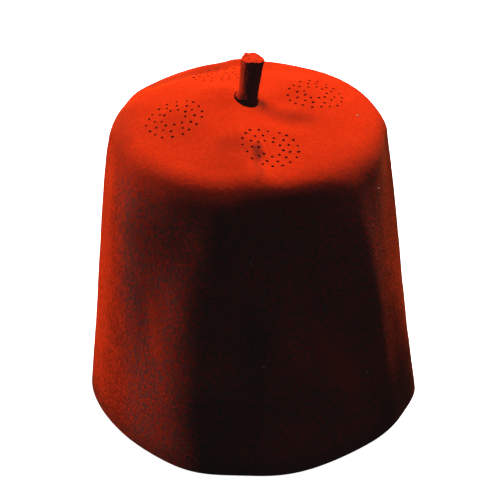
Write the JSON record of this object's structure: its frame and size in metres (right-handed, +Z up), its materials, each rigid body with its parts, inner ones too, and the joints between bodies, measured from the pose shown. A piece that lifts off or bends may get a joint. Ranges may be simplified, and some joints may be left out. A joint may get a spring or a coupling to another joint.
{
  "type": "fez hat",
  "caption": "Blocked red felt fez: a tapering round cap with a soft-edged, dented crown, rosettes of small vent holes and a short felt tassel stem.",
  "frame": {"origin": "middle of the box's base, on the surface that the rim stands on", "axes": "+Z up through the crown and the stem, -Y towards the hat's front as pictured, +X to its right as seen from the front"},
  "size_m": [0.1958, 0.1818, 0.2185],
  "materials": {
    "felt": "matt wool felt, bright red, slightly brushed nap",
    "stem_felt": "matt felt, darker red sides and a frayed cut end"
  },
  "bodies": {
    "root": {"felt_cap": "felt", "tassel_stem": "stem_felt"}
  },
  "joints": []
}
